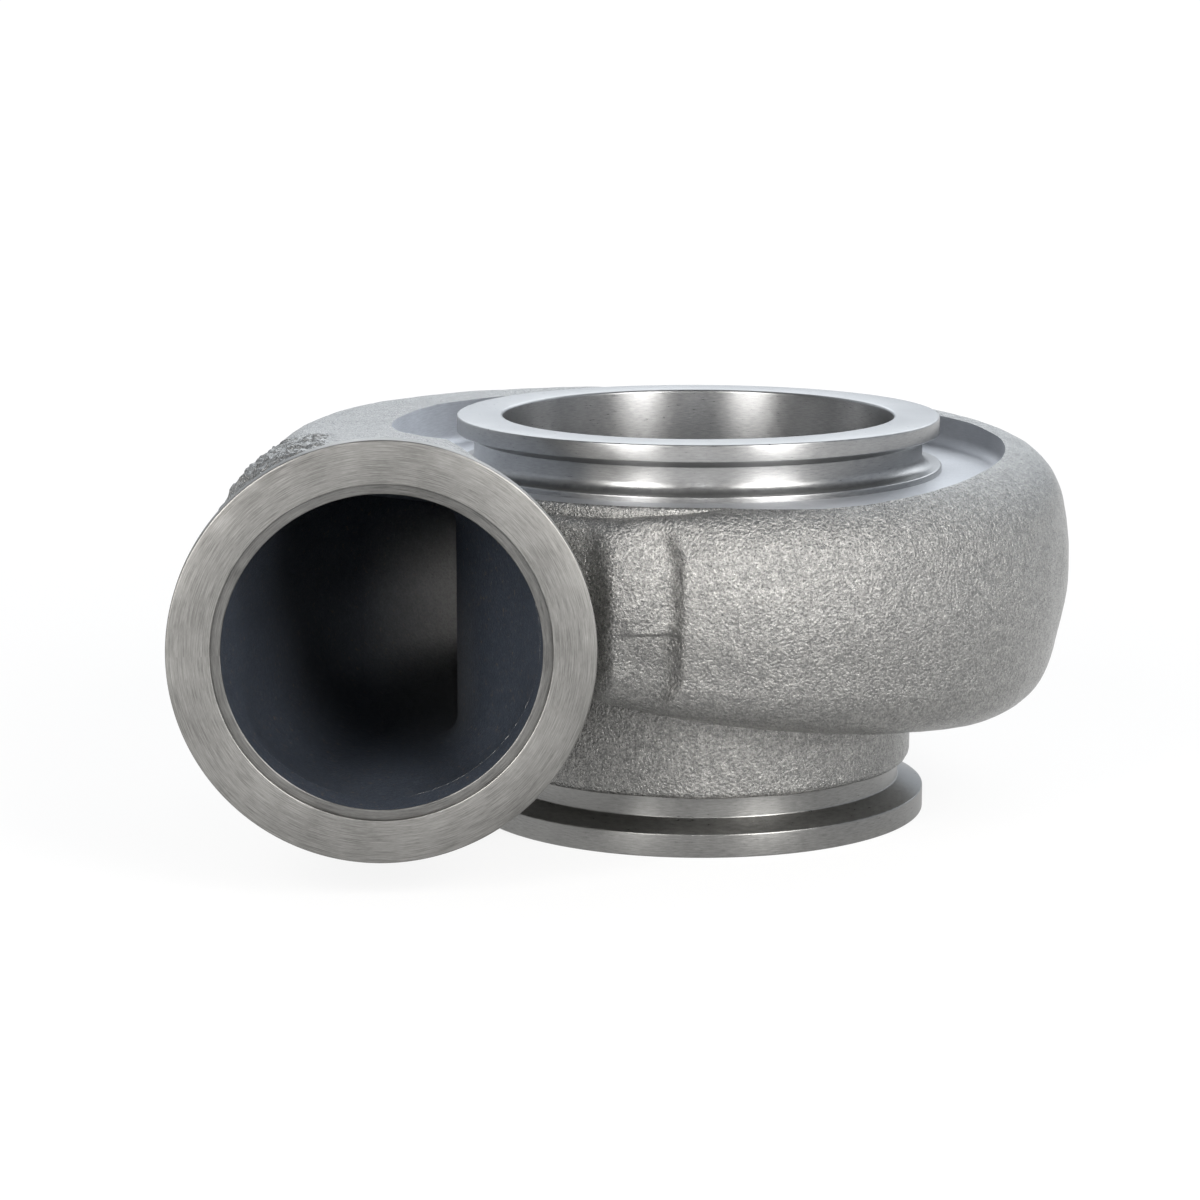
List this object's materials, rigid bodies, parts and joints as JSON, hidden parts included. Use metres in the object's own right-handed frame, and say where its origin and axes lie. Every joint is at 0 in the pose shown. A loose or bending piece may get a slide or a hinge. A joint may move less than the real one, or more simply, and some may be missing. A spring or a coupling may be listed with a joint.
{
  "type": "turbocharger turbine housing",
  "caption": "Cast iron turbine housing: a snail-shaped gas scroll with a round inlet duct, a bearing housing end and an outlet end, each with a machined V-band flange.",
  "frame": {"origin": "centre of the outlet flange's face, on the turbine axis", "axes": "+Z along the turbine axis, from the outlet end up to the bearing housing end; the inlet lies on the -X side and its face looks towards -Y"},
  "size_m": [0.2053, 0.1796, 0.0974],
  "materials": {
    "cast_skin": "sand-cast grain",
    "machined_face": "fine turned satin",
    "machined_wall": "turned satin"
  },
  "bodies": {
    "root": {"bearing_end_wall": "machined_wall", "wheel_shroud": "cast_skin", "outlet_neck": "cast_skin", "volute_upper_rear": "cast_skin", "volute_upper_front": "cast_skin", "volute_lower_rear": "cast_skin", "volute_lower_front": "cast_skin", "inlet_duct_upper": "cast_skin", "inlet_duct_lower": "cast_skin", "scroll_tongue": "cast_skin", "tongue_pad_upper": "cast_skin", "tongue_pad_lower": "cast_skin", "centre_flange_rim": "machined_face", "centre_flange_neck": "machined_wall", "outlet_flange_rim": "machined_face", "outlet_flange_neck": "machined_wall", "inlet_flange_rim": "machined_face", "inlet_flange_neck": "machined_wall", "gate_stub": "cast_skin"}
  },
  "joints": []
}
